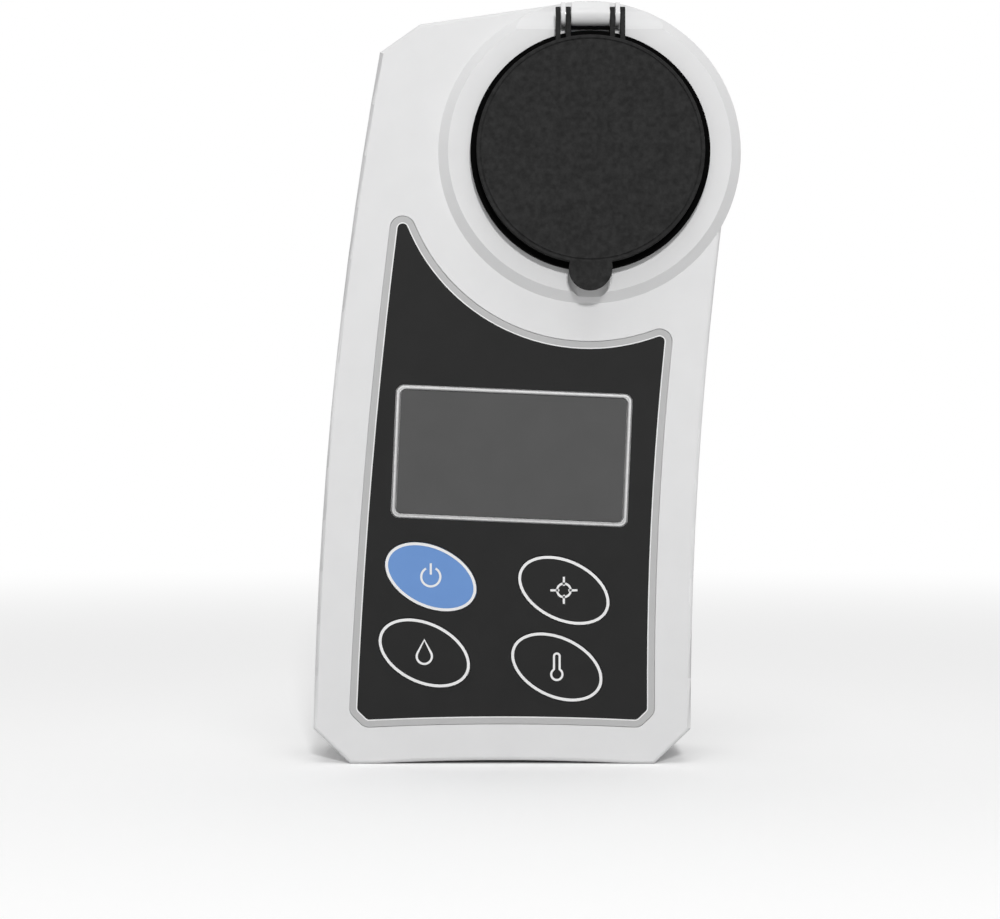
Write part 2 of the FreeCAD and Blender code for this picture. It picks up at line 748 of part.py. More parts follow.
# Battery door with its seal and its two screws.
def battery_door():
    body = new_body("battery_door")
    sketch = new_sketch(body, "front", BACK)
    add_wire(sketch, door_outline(0))
    pad(body, sketch, "door_thick")
    dress(body, "Fillet", "door_edge_round", lambda e: at_depth(e, -size("half_depth")))
    pocket(body, circles(body, BACK, DOOR_SCREWS, "door_screw_head + screw_head_play / 2"), "door_thick / 2", ahead=True)
    pocket(body, circles(body, BACK, DOOR_SCREWS, "board_screw_radius + screw_head_play"), "door_thick", ahead=True)
    # Thumb grooves across the middle.
    sketch = new_sketch(body, "front", BACK)
    for i in range(int(size("grip_count"))):
        low = "bay_low_z + %s / 2 + (%d - grip_count / 2) * grip_pitch" % (BAY_LENGTH, i)
        add_rectangle(sketch, "-grip_half", low, "grip_half", low + " + grip_pitch / 2")
    pocket(body, sketch, "grip_deep", ahead=True)
    seal = new_body("door_seal")
    sketch = new_sketch(seal, "front", "door_thick - half_depth")
    inner = "cell_play"
    for grown in (inner, inner + " + door_seal_width"):
        add_rectangle(sketch, "-(%s) - (%s)" % (BAY_HALF, grown), "bay_low_z - (%s)" % grown,
                      "%s + %s" % (BAY_HALF, grown), "%s + %s" % (BAY_TOP, grown))
    pad(seal, sketch, "door_seal_thick")


# A pad of one closed wire, or of a wire with holes, between two depths.
def plate(name, wires, rear, front):
    body = new_body(name)
    sketch = new_sketch(body, "front", rear)
    for wire in wires:
        add_wire(sketch, wire)
    pad(body, sketch, "(%s) - (%s)" % (front, rear))
    return body


# Printed membrane with openings for the display and the four keys.
def panel_overlay():
    holes = [display_rectangle(size("overlay_play"), size("bezel_corner"))]
    holes += [key_ellipse(key, size("key_gap")) for key in KEYS]
    plate("panel_overlay", [offset(OVERLAY, -size("overlay_play"))] + holes, RECESS, RECESS + " + overlay_thick")


# Display: bright bezel, window, glass module and the tray that holds it on the circuit board.
def display():
    corner, width = size("bezel_corner"), size("bezel_width")
    inner = display_rectangle(-width, corner - width / 2)
    bezel = plate("display_bezel", [display_rectangle(0, corner), inner], RECESS, RECESS + " + bezel_thick")
    front = size("half_depth") - size("panel_recess") + size("bezel_thick")
    dress(bezel, "Chamfer", "bezel_bevel", lambda e: at_depth(e, front))
    window = display_rectangle(-width - size("window_play"), corner - width / 2)
    plate("display_window", [window], RECESS, RECESS + " + window_thick")
    inside = "half_depth - wall"
    grow, corner = size("lcd_grow"), size("lcd_corner")
    plate("lcd_module", [display_rectangle(grow, corner)], inside + " - lcd_thick", inside)
    tray = plate("display_tray", [display_rectangle(grow + size("lcd_play") + size("holder_wall"), 2 * corner)],
                 BOARD_FRONT, inside)
    sketch = new_sketch(tray, "front", inside)
    add_wire(sketch, display_rectangle(grow + size("lcd_play"), corner))
    pocket(tray, sketch, "lcd_thick")


# One key: oval cap, wider flange that stops it behind the shell, and a stem over its switch.
def key_cap(key):
    flange_front = "half_depth - wall - key_play"
    body = plate(key + "_key", [key_ellipse(key, size("key_flange"))],
                 flange_front + " - key_flange_thick", flange_front)
    sketch = new_sketch(body, "front", flange_front)
    add_wire(sketch, key_ellipse(key, 0))
    pad(body, sketch, "%s + overlay_thick + key_proud - (%s)" % (RECESS, flange_front))
    stem_rear = PLUNGER_TIP + " + nub_gap"
    pad(body, circles(body, stem_rear, [(key + "_x", key + "_z")], "key_stem"),
        "%s - key_flange_thick - (%s)" % (flange_front, stem_rear))


# Push switches on the circuit board, one under each key.
def key_switches():
    body = new_body("key_switches")
    body.AllowCompound = True
    sketch = new_sketch(body, "front", BOARD_FRONT)
    for key in KEYS:
        add_rectangle(sketch, key + "_x - switch_side / 2", key + "_z - switch_side / 2",
                      key + "_x + switch_side / 2", key + "_z + switch_side / 2")
    pad(body, sketch, "switch_tall")
    places = [(key + "_x", key + "_z") for key in KEYS]
    pad(body, circles(body, BOARD_FRONT + " + switch_tall", places, "plunger_radius"), "plunger_tall")


def main_board():
    body = new_body("main_board")
    rear = BOARD_FRONT + " - board_thick"
    sketch = new_sketch(body, "front", rear)
    add_rectangle(sketch, "-board_half_width", "board_low_z", "board_half_width", "board_high_z")
    pad(body, sketch, "board_thick")
    pocket(body, circles(body, rear, BOARD_SCREWS, "board_screw_radius + screw_head_play"), "board_thick", ahead=True)
    chips = new_body("board_chips")
    chips.AllowCompound = True
    sketch = new_sketch(chips, "front", rear + " - chip_thick")
    add_rectangle(sketch, "chip_x - chip_half", "chip_z - chip_half", "chip_x + chip_half", "chip_z + chip_half")
    add_rectangle(sketch, "-chip_x - chip_half", "chip_z - chip_half", "-chip_x + chip_half / 2", "chip_z + chip_half")
    pad(chips, sketch, "chip_thick")


# A group of equal screws whose heads bear at one depth and whose shanks run forward.
def screws(name, places, seat, head_radius, head_thick, shank_radius, length):
    body = new_body(name)
    body.AllowCompound = True
    rear = "(%s) - (%s)" % (seat, head_thick)
    pad(body, circles(body, rear, places, head_radius), head_thick)
    pad(body, circles(body, seat, places, shank_radius), length)
    pocket(body, circles(body, rear, places, "socket_radius"), "(%s) / 2" % head_thick, ahead=True)


# Hinged lid: rim, top disc with a fine groove, finger tab, hollow underside, four hinge lugs.
def lid():
    body = new_body("lid")
    bottom = RING + " + lid_gap"
    top = RING + " + lid_height"
    stage = [("stage_x", "stage_z")]
    pad(body, circles(body, bottom, stage, "lid_rim_radius"), "lid_rim_height")
    pad(body, circles(body, bottom + " + lid_rim_height", stage, "lid_rim_radius - lid_step"),
        "lid_height - lid_gap - lid_rim_height")
    front = size("half_depth") + size("ring_rise") + size("lid_height")
    dress(body, "Fillet", "lid_edge_round", lambda e: at_depth(e, front))
    tab = [("stage_x", "stage_z - lid_rim_radius + tab_inset")]
    pad(body, circles(body, top + " - tab_thick", tab, "tab_radius"), "tab_thick")
    groove = "lid_rim_radius - lid_step - lid_groove_inset"
    sketch = circles(body, top, stage, groove + " + lid_groove_width / 2")
    add_circle(sketch, "stage_x", "stage_z", groove + " - lid_groove_width / 2")
    pocket(body, sketch, "lid_groove_deep")
    pocket(body, circles(body, bottom, stage, "lid_rim_radius - lid_wall"), "lid_height - lid_gap - lid_plate", ahead=True)
    _, lugs, whole = knuckles()
    rim_z = size("stage_z") + size("lid_rim_radius")
    back_depth = size("half_depth") + size("ring_rise") + size("lid_gap")
    for left, right in lugs:
        pad(body, knuckle_sketch(body, left, back_depth, rim_z - size("lid_wall")), right - left)
    # Bar between the two inner lugs, just under the shell's barrel.
    depth, z = pin_place()
    high = z - size("knuckle_radius") - size("knuckle_gap")
    half = size("barrel_half") + size("knuckle_gap")
    sketch = new_sketch(body, "side", size("stage_x") - half)
    corners = [side_point(d, h) for d, h in ((depth, high), (depth - size("bar_deep"), high),
               (depth - size("bar_deep"), high - size("bar_thick")), (depth, high - size("bar_thick")))]
    for i in range(4):
        sketch.addGeometry(Part.LineSegment(corners[i], corners[(i + 1) % 4]), False)
    pad(body, sketch, 2 * half)
    sketch = new_sketch(body, "side", whole[0])
    add_circle(sketch, "-(%s + pin_rise)" % RING, PIN_Z, "pin_radius + pin_run")
    pocket(body, sketch, whole[1] - whole[0], ahead=True)
    seal = new_body("lid_seal")
    sketch = circles(seal, RING + " + pad_gap", stage, "lid_rim_radius - lid_wall - pad_gap")
    add_circle(sketch, "stage_x", "stage_z", "lid_rim_radius - lid_wall - pad_width")
    pad(seal, sketch, "lid_height - lid_plate - pad_gap")


def hinge_pin():
    body = new_body("hinge_pin")
    whole = knuckles()[2]
    sketch = new_sketch(body, "side", whole[0])
    add_circle(sketch, "-(%s + pin_rise)" % RING, PIN_Z, "pin_radius")
    pad(body, sketch, whole[1] - whole[0])


# A ring turned about the stage's axis from a half section given as radius and depth.
def turned(name, section):
    body = new_body(name)
    sketch = new_sketch(body, "top", "stage_z")
    x = size("stage_x")
    corners = [FreeCAD.Vector(x + radius, -depth, 0) for radius, depth in section]
    for i in range(len(corners)):
        sketch.addGeometry(Part.LineSegment(corners[i], corners[(i + 1) % len(corners)]), False)
    sketch.addGeometry(Part.LineSegment(FreeCAD.Vector(x, 0, 0), FreeCAD.Vector(x, -1, 0)), True)
    feature = body.newObject("PartDesign::Revolution", name + "_revolution")
    feature.Profile = sketch
    feature.ReferenceAxis = (sketch, ["Axis0"])
    feature.Angle = 360
    return checked(body, feature, 0, 1)


# Polished metal dish that funnels the sample onto the prism, and the ring that seals it.
def sample_stage():
    ring = size("half_depth") + size("ring_rise")
    floor = ring - size("dish_drop")
    under = floor - size("dish_wall")
    flange = ring - size("dish_flange_thick")
    seat = size("lid_rim_radius") - size("seat_inset")
    mouth = seat - size("dish_rim")
    slope = (mouth - size("dish_floor")) / size("dish_drop")
    side = size("dish_wall") / 2
    under_mouth = size("dish_floor") + side + (flange - under) * slope
    turned("sample_dish", [
        (size("window_radius"), floor), (size("dish_floor"), floor), (mouth, ring),
        (seat, ring), (seat, flange), (under_mouth, flange),
        (size("dish_floor") + side, under), (size("window_radius"), under),
    ])
    seal = new_body("dish_seal")
    outer = "%s - seal_inset" % SEAT
    sketch = circles(seal, RING + " - seat_depth", [("stage_x", "stage_z")], outer)
    add_circle(sketch, "stage_x", "stage_z", outer + " - seal_width")
    pad(seal, sketch, "seat_depth - dish_flange_thick")


# A place on the light's folded path: across from the stage's middle, and depth.
def light_point(distance, side):
    focus = (size("half_depth") + size("ring_rise") - size("dish_drop") - size("dish_wall")) - size("light_focus")
    step = distance * math.sqrt(0.5)
    return point(size("stage_x") + side * step, size("stage_z"), focus - step)


# A round piece on one arm of the light path, between two distances from the focus.
def on_light_path(name, side, near, far, radius):
    start, end = light_point(near, side), light_point(far, side)
    feature = doc.addObject("Part::Cylinder", name)
    feature.Placement = FreeCAD.Placement(start, FreeCAD.Rotation(FreeCAD.Vector(0, 0, 1), end - start))
    bind(feature, "Radius", radius)
    feature.Height = far - near
    return feature


# Distance along the light path to the block's slanted rear faces.
def slant_distance():
    front = size("half_depth") + size("ring_rise") - size("dish_drop") - size("dish_wall")
    return (front - size("light_focus") + size("optics_slant_gap")) * math.sqrt(0.5)


# Black optical block behind the dish, with a pocket for the prism and two slanted light bores.
def optical_block():
    body = new_body("optical_block")
    low = "stage_z - optics_half_height"
    front = size("half_depth") + size("ring_rise") - size("dish_drop") - size("dish_wall")
    rear = front - size("optics_depth")
    half, x, gap = size("optics_half_width"), size("stage_x"), size("optics_slant_gap")
    side = [(half, front), (half, half - gap), (rear + gap, rear)]
    section = side + [(-a, b) for a, b in reversed(side)]
    sketch = new_sketch(body, "top", low)
    corners = [FreeCAD.Vector(x + a, -b, 0) for a, b in section]
    for i in range(len(corners)):
        sketch.addGeometry(Part.LineSegment(corners[i], corners[(i + 1) % len(corners)]), False)
    pad(body, sketch, "2 * optics_half_height")
    sketch = new_sketch(body, "front", OPTICS_EAR + " - optics_ear_thick")
    reach = "(%s + optics_screw_reach + %s)" % (SEAT_BORE, BOARD_BOSS)
    add_rectangle(sketch, "stage_x - " + reach, "stage_z - (%s)" % BOARD_BOSS, "stage_x + " + reach,
                  "stage_z + " + BOARD_BOSS)
    pad(body, sketch, "optics_ear_thick")
    pocket(body, circles(body, OPTICS_EAR, optics_screws(), "board_screw_radius + screw_head_play"), "optics_ear_thick")
    sketch = new_sketch(body, "front", OPTICS_FRONT)
    across, up = "(prism_half_width + prism_play)", "(prism_half_height + prism_play)"
    add_rectangle(sketch, "stage_x - " + across, "stage_z - " + up, "stage_x + " + across, "stage_z + " + up)
    pocket(body, sketch, "prism_deep + prism_play")
    probe = [("stage_x", "stage_z + probe_rise")]
    pocket(body, circles(body, OPTICS_FRONT, probe, "probe_radius + prism_play / 2"), "probe_length")
    NODES.remove(body)
    far = slant_distance()
    near, beyond = size("bore_start"), far + size("lamp_flange")
    bores = [on_light_path("lamp_bore", -1, near, beyond, "lamp_radius"),
             on_light_path("sensor_bore", 1, near, beyond, "lens_radius")]
    block = doc.addObject("Part::Cut", "optics")
    both = doc.addObject("Part::MultiFuse", "light_bores")
    both.Shapes = bores
    block.Base, block.Tool = body, both
    body.Label = "optical_block_body"
    block.Label = "optical_block"
    NODES.append(block)


# Prism whose round face is the floor of the dish, and whose slanted faces look along the two bores.
def prism():
    body = new_body("prism")
    half, land, deep = size("prism_half_width"), size("prism_land"), size("prism_deep")
    front = size("half_depth") + size("ring_rise") - size("dish_drop") - size("dish_wall")
    foot = half - (deep - land)
    section = [(half, front), (half, front - land), (foot, front - deep),
               (-foot, front - deep), (-half, front - land), (-half, front)]
    sketch = new_sketch(body, "top", "stage_z - prism_half_height")
    corners = [FreeCAD.Vector(size("stage_x") + a, -b, 0) for a, b in section]
    for i in range(len(corners)):
        sketch.addGeometry(Part.LineSegment(corners[i], corners[(i + 1) % len(corners)]), False)
    pad(body, sketch, "2 * prism_half_height")
    pad(body, circles(body, OPTICS_FRONT, [("stage_x", "stage_z")], "window_radius - window_play"), "dish_wall")


# Names a finished object as one of the separate pieces.
def keep(feature, name):
    feature.Label = name
    NODES.append(feature)
    return feature


# Lamp, lens, line sensor on its small board, and the temperature probe.
def optics_parts():
    far = slant_distance()
    lamp = doc.addObject("Part::MultiFuse", "light_source")
    lamp.Shapes = [
        on_light_path("lamp_body", -1, far - size("lamp_length"), far, "lamp_radius - prism_play"),
        on_light_path("lamp_flange_disc", -1, far, far + size("lamp_flange"), "lamp_radius + lamp_flange"),
    ]
    keep(lamp, "light_source")
    near = far - size("lens_to_sensor")
    lens = on_light_path("lens_disc", 1, near, near + size("lens_thick"), "lens_radius - prism_play / 2")
    keep(lens, "focus_lens")
    width, length = size("sensor_board_width"), 2 * size("optics_half_height")
    card = doc.addObject("Part::Box", "sensor_card")
    bind(card, "Length", "sensor_board_thick")
    bind(card, "Width", "sensor_board_width")
    bind(card, "Height", "2 * optics_half_height")
    corner = light_point(far, 1)
    away = (light_point(far + 1, 1) - light_point(far, 1)).normalize()
    across = FreeCAD.Vector(-away.y, away.x, 0)
    frame = FreeCAD.Rotation(away, across, FreeCAD.Vector(0, 0, 1), "ZXY")
    card.Placement = FreeCAD.Placement(corner - across * (width / 2) - FreeCAD.Vector(0, 0, length / 2), frame)
    keep(card, "sensor_board")
    chip = doc.addObject("Part::Box", "sensor_chip")
    bind(chip, "Length", "sensor_thick")
    bind(chip, "Width", "sensor_width")
    bind(chip, "Height", "sensor_length")
    back = corner - away * size("sensor_thick") - across * (size("sensor_width") / 2)
    chip.Placement = FreeCAD.Placement(back - FreeCAD.Vector(0, 0, size("sensor_length") / 2), frame)
    keep(chip, "line_sensor")
    probe = new_body("temperature_probe")
    pad(probe, circles(probe, OPTICS_FRONT + " - probe_length", [("stage_x", "stage_z + probe_rise")],
                       "probe_radius"), "probe_length")


# A round tube along straight runs joined by tangent arcs.
def tube(name, route, radius, bend):
    edges = []
    start = route[0]
    for i in range(1, len(route) - 1):
        before, here, after = route[i - 1], route[i], route[i + 1]
        a, b = (before - here).normalize(), (after - here).normalize()
        half = a.getAngle(b) / 2
        cut = bend / math.tan(half)
        middle = here + (a + b).normalize() * (bend / math.sin(half) - bend)
        edges.append(line(start, here + a * cut))
        edges.append(Part.Arc(here + a * cut, middle, here + b * cut).toShape())
        start = here + b * cut
    edges.append(line(start, route[-1]))
    path = Part.Wire(edges)
    ring = Part.Wire(Part.Circle(route[0], route[1] - route[0], radius).toShape())
    feature = doc.addObject("Part::Feature", name)
    feature.Shape = path.makePipeShell([ring], True, False)
    return keep(feature, name)


# Cable from the sensor board down to the back of the main board.
def optics_cable():
    far = slant_distance() + size("sensor_board_thick") / 2
    top = light_point(far, 1) - FreeCAD.Vector(0, 0, size("optics_half_height"))
    board_rear = size("half_depth") - size("board_drop") - size("board_thick")
    end = point(size("board_half_width") - size("cable_inset"), size("board_high_z") - size("cable_drop"), board_rear)
    behind, up = FreeCAD.Vector(0, size("cable_loop"), 0), FreeCAD.Vector(0, 0, size("cable_rise"))
    route = [top, top - up / 2, end + behind + up, end + behind, end]
    tube("optics_cable", route, size("cable_radius"), size("cable_bend"))


# Two cells side by side with opposite ends up, and the metal that joins them.
def batteries():
    low = size("bay_low_z") + size("contact_thick") + 2 * size("cell_play")
    high = bay_top() - size("contact_thick") - 2 * size("cell_play")
    depth = -(size("half_depth") - size("door_thick") - size("cell_play") - size("cell_radius"))
    springs = []
    for name, side, nub_up in (("left_cell", -1, True), ("right_cell", 1, False)):
        x = side * size("cell_pitch") / 2
        tip = high if nub_up else low
        way = FreeCAD.Vector(0, 0, -1 if nub_up else 1)
        nub = doc.addObject("Part::Cylinder", name + "_nub")
        can = doc.addObject("Part::Cylinder", name + "_can")
        bind(nub, "Radius", "cell_nub_radius")
        bind(nub, "Height", "cell_nub_length")
        bind(can, "Radius", "cell_radius")
        bind(can, "Height", "cell_length")
        turn = FreeCAD.Rotation(FreeCAD.Vector(0, 0, 1), way)
        start = point(x, tip, depth)
        nub.Placement = FreeCAD.Placement(start, turn)
        can.Placement = FreeCAD.Placement(start + way * size("cell_nub_length"), turn)
        cell = doc.addObject("Part::MultiFuse", name)
        cell.Shapes = [nub, can]
        keep(cell, name)
        # Bent leaf that presses on the flat end.
        end = start + way * (size("cell_nub_length") + size("cell_length"))
        foot_z = low if nub_up else high
        half, thick = size("spring_reach"), size("spring_thick")
        slope = (end.z - foot_z) / half
        inner = half - thick * math.hypot(1, slope) / abs(slope)
        z_inner = foot_z + slope * inner
        profile = [(-half, foot_z), (0, end.z), (half, foot_z), (inner, foot_z), (0, z_inner), (-inner, foot_z)]
        ring = [FreeCAD.Vector(x - half, end.y + across, z) for across, z in profile]
        leaf = Part.Face(Part.makePolygon(ring + ring[:1])).extrude(FreeCAD.Vector(2 * half, 0, 0))
        springs.append(leaf)
    feature = doc.addObject("Part::Feature", "battery_springs")
    feature.Shape = Part.makeCompound(springs)
    keep(feature, "battery_springs")
    contacts = new_body("battery_contacts")
    contacts.AllowCompound = True
    front = "%s - cell_play" % BAY_ROOF
    rear = "%s - cell_radius" % CELL_DEPTH
    sketch = new_sketch(contacts, "front", rear)
    reach = "(cell_pitch / 2 + contact_half)"
    low_z, high_z = "bay_low_z + cell_play * 2", BAY_TOP + " - cell_play * 2"
    add_rectangle(sketch, "-" + reach, low_z, reach, low_z + " + contact_thick")
    for sign in ("-", ""):
        middle = sign + "cell_pitch / 2"
        add_rectangle(sketch, middle + " - contact_half", high_z + " - contact_thick", middle + " + contact_half", high_z)
    pad(contacts, sketch, "(%s) - (%s)" % (front, rear))


# Inner solids that stand on their own: every group of screws.
def all_screws():
    screws("housing_screws", HOUSING_SCREWS, "screw_pocket_deep - half_depth", "screw_head_radius",
           "screw_head_thick", "screw_radius", "parting_depth + half_depth - screw_pocket_deep + screw_bite")
    screws("board_screws", BOARD_SCREWS, BOARD_FRONT + " - board_thick", "small_head", "small_head_thick",
           "small_shank", "board_thick + board_bite")
    screws("optics_screws", optics_screws(), OPTICS_EAR + " - optics_ear_thick", "small_head",
           "small_head_thick", "small_shank", "optics_ear_thick + board_bite")
    screws("door_screws", DOOR_SCREWS, "door_thick / 2 - half_depth", "small_head", "door_thick / 2 - screw_head_play / 2",
           "small_shank", "door_thick / 2 + door_seal_thick + door_post - 2 * door_screw_spare")


BUILDERS = [front_shell, rear_shell, shell_gasket, battery_door, panel_overlay, display, key_switches,
            main_board, lid, hinge_pin, sample_stage, optical_block, prism, optics_parts, optics_cable,
            batteries, all_screws]
for build in BUILDERS:
    build()
for key in KEYS:
    key_cap(key)
# Every piece moves together so that the origin lies under the middle of the whole object.
middle_x = (size("head_x") + head_radius() - size("side_half_width")) / 2
middle_depth = (size("ring_rise") + size("lid_height")) / 2
shift = FreeCAD.Placement(-point(middle_x, 0, middle_depth), FreeCAD.Rotation())
for node in NODES:
    node.Placement = shift.multiply(node.Placement)
doc.recompute()
for thing in doc.Objects:
    if "Invalid" in thing.State or "Error" in thing.State:
        raise RuntimeError("%s failed: %s" % (thing.Name, thing.State))
for node in NODES:
    if node.Shape.isNull() or not node.Shape.isValid() or not node.Shape.Solids:
        raise RuntimeError("%s has no sound shape" % node.Label)
os.makedirs("parts", exist_ok=True)
for node in NODES:
    node.Shape.exportStep("parts/%s.step" % node.Label)
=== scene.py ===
import math

import bpy
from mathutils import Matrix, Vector


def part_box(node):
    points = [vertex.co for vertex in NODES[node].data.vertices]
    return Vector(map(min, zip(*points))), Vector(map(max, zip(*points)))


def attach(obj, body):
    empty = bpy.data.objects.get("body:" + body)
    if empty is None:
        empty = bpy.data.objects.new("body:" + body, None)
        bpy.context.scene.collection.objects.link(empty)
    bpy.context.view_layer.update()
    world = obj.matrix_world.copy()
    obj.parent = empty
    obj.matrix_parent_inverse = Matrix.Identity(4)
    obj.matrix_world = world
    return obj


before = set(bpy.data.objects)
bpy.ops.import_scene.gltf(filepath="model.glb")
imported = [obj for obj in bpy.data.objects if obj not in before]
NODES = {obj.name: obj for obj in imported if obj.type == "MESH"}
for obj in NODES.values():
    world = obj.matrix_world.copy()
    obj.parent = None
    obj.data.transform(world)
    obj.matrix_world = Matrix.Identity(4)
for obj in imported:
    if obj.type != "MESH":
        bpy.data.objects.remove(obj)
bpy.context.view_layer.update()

# Lengths are in metres; MM turns millimetres into metres.
MM = 0.001

# Camera
CAMERA_X, CAMERA_HEIGHT = -4.8 * MM, 54 * MM
CAMERA_DISTANCE = 408 * MM
LENS, SENSOR = 82.8, 36.0
CLIP_NEAR, CLIP_FAR = 0.01, 20

# Printing, and the painted shade line on the bezel: their lift off the surface, and their lines, measured
# inward from the edge of their part
PRINT_LIFT = 0.02 * MM
BORDER_WIDTH, BORDER_LINE = 1.1 * MM, 1.3 * MM
# Painted shade: a darker line down the middle of the bezel's face, between its two bright edges
BEZEL_SHADE_START, BEZEL_SHADE_END = 0.3 * MM, 0.44 * MM
KEY_LINE = 0.5 * MM

# Signs on the keys: stroke width, and their sizes from the middle of the key
STROKE = 0.38 * MM
POWER_RING, POWER_BAR_LOW, POWER_BAR_HIGH = 1.7 * MM, 0.4 * MM, 2.4 * MM
TARGET_RING, TICK_START, TICK_END = 1.2 * MM, 0.8 * MM, 2.4 * MM
DROP_TIP, DROP_RADIUS, DROP_LOW = 2.3 * MM, 1.35 * MM, 0.6 * MM
BULB_RADIUS, BULB_LOW = 1.0 * MM, 1.3 * MM
STEM_RADIUS, STEM_TOP = 0.5 * MM, 1.9 * MM

# The lid's rim starts this far behind its face; shade is painted on the lid from there back.
LID_STEP = 2.3 * MM

# Lights: distance, angle up, angle to the right, side and power
LIGHT_AIM = (0, 0, 0.06)
KEY_LIGHT = (1.5, 23, 4, 0.12, 10.6)
TOP_LIGHT = (1.8, 64, 4, 1.0, 7.8)

# Soft light from all round, stronger from above, behind and the left
FILL, WHITE_LEVEL = 0.35, 1.0
FILL_LEAN = (-0.25, 0.7, 0.6)

# Floor: half its side, its tones, and where it fades to the white backdrop
FLOOR_REACH = 3.0
FLOOR_TONE, FLOOR_SHOWN = 0.65, 1.04
FADE_START, FADE_END = 0.08, 0.75

# Noise values lie mostly between these two.
NOISE_LOW, NOISE_HIGH = 0.3, 0.7


# A material whose shader has one plain colour, to which a finish adds its nodes.
def new_material(name, colour, roughness, metallic=0.0, shine=0.5):
    material = bpy.data.materials.new(name)
    material.use_nodes = True
    tree = material.node_tree
    shader = tree.nodes["Principled BSDF"]
    shader.inputs["Base Color"].default_value = (*colour, 1)
    shader.inputs["Roughness"].default_value = roughness
    shader.inputs["Metallic"].default_value = metallic
    shader.inputs["Specular IOR Level"].default_value = shine
    material.diffuse_color = (*colour, 1)
    return material, tree, shader


# Noise in the object's own space, with grains of one length.
def noise(tree, grain, detail=3.0, stretch=(1, 1, 1)):
    place = tree.nodes.new("ShaderNodeTexCoord")
    scaled = tree.nodes.new("ShaderNodeMapping")
    scaled.inputs["Scale"].default_value = [s / grain for s in stretch]
    tree.links.new(place.outputs["Object"], scaled.inputs["Vector"])
    grains = tree.nodes.new("ShaderNodeTexNoise")
    grains.inputs["Scale"].default_value = 1.0
    grains.inputs["Detail"].default_value = detail
    tree.links.new(scaled.outputs["Vector"], grains.inputs["Vector"])
    return grains.outputs["Fac"]


# Maps a value from one range to another.
def remapped(tree, value, low_in, high_in, low_out, high_out):
    remap = tree.nodes.new("ShaderNodeMapRange")
    numbers = (("From Min", low_in), ("From Max", high_in), ("To Min", low_out), ("To Max", high_out))
    for socket, number in numbers:
        remap.inputs[socket].default_value = number
    tree.links.new(value, remap.inputs["Value"])
    return remap


# Lets the roughness wander round its middle value.
def uneven_gloss(tree, shader, value, roughness, spread):
    remap = remapped(tree, value, NOISE_LOW, NOISE_HIGH, roughness - spread, roughness + spread)
    tree.links.new(remap.outputs["Result"], shader.inputs["Roughness"])


# Lets the colour wander between two tones.
def tones(tree, shader, value, dark, light):
    ramp = tree.nodes.new("ShaderNodeValToRGB")
    for element, place, tone in zip(ramp.color_ramp.elements, (NOISE_LOW, NOISE_HIGH), (dark, light)):
        element.position = place
        element.color = (*tone, 1)
    tree.links.new(value, ramp.inputs["Fac"])
    tree.links.new(ramp.outputs["Color"], shader.inputs["Base Color"])


# Raises the surface by a height where the value is high.
def relief(tree, shader, value, height):
    bump = tree.nodes.new("ShaderNodeBump")
    bump.inputs["Strength"].default_value = 1.0
    bump.inputs["Distance"].default_value = height
    tree.links.new(value, bump.inputs["Height"])
    tree.links.new(bump.outputs["Normal"], shader.inputs["Normal"])


def grey(tone):
    return (tone, tone, tone)


# Moulded or printed plastic: two close tones, fine grain and uneven gloss.
def plastic(name, dark, light, roughness, grain, height, patch=6 * MM, shine=0.25):
    material, tree, shader = new_material(name, light, roughness, shine=shine)
    tones(tree, shader, noise(tree, patch, 5.0), dark, light)
    fine = noise(tree, grain, 2.0)
    relief(tree, shader, fine, height)
    uneven_gloss(tree, shader, fine, roughness, 0.06)
    return material


# Metal with fine scratches drawn along one axis.
def metal(name, dark, light, roughness, grain, stretch, height):
    material, tree, shader = new_material(name, light, roughness, 1.0)
    fine = noise(tree, grain, 4.0, stretch)
    tones(tree, shader, fine, dark, light)
    relief(tree, shader, fine, height)
    uneven_gloss(tree, shader, fine, roughness, 0.08)
    return material


# Optical glass with a barely uneven polish.
def clear(name, colour, roughness):
    material, tree, shader = new_material(name, colour, roughness)
    shader.inputs["Transmission Weight"].default_value = 1.0
    shader.inputs["IOR"].default_value = 1.52
    relief(tree, shader, noise(tree, 3 * MM), 0.002 * MM)
    return material


# Paints shade on a material: gives it another colour behind a distance along the object's depth.
def paint_shade_behind(material, y, colour):
    tree = material.node_tree
    shader = tree.nodes["Principled BSDF"]
    place = tree.nodes.new("ShaderNodeTexCoord")
    axes = tree.nodes.new("ShaderNodeSeparateXYZ")
    tree.links.new(place.outputs["Object"], axes.inputs["Vector"])
    behind = tree.nodes.new("ShaderNodeMath")
    behind.operation = "GREATER_THAN"
    behind.inputs[1].default_value = y
    tree.links.new(axes.outputs["Y"], behind.inputs[0])
    blend = tree.nodes.new("ShaderNodeMix")
    blend.data_type = "RGBA"
    tree.links.new(behind.outputs["Value"], blend.inputs["Factor"])
    tree.links.new(shader.inputs["Base Color"].links[0].from_socket, blend.inputs["A"])
    blend.inputs["B"].default_value = (*colour, 1)
    tree.links.new(blend.outputs["Result"], shader.inputs["Base Color"])


# Outside of the instrument
SHELL = plastic("shell_plastic", (0.712, 0.712, 0.715), (0.732, 0.732, 0.735), 0.42, 0.25 * MM, 0.004 * MM)
LID = plastic("lid_plastic", grey(0.019), grey(0.033), 0.6, 0.35 * MM, 0.012 * MM, 0.9 * MM, 0.02)
RUBBER = plastic("rubber", grey(0.018), grey(0.03), 0.7, 0.4 * MM, 0.01 * MM)
PANEL = plastic("panel_print", grey(0.022), grey(0.024), 0.6, 0.2 * MM, 0.002 * MM, shine=0.06)
BORDER = plastic("border_print", grey(0.455), grey(0.475), 0.5, 0.2 * MM, 0.002 * MM)
WHITE = plastic("white_print", grey(0.78), grey(0.82), 0.5, 0.2 * MM, 0.002 * MM)
BLUE = plastic("blue_print", (0.145, 0.285, 0.595), (0.155, 0.3, 0.615), 0.5, 0.2 * MM, 0.002 * MM, shine=0.1)
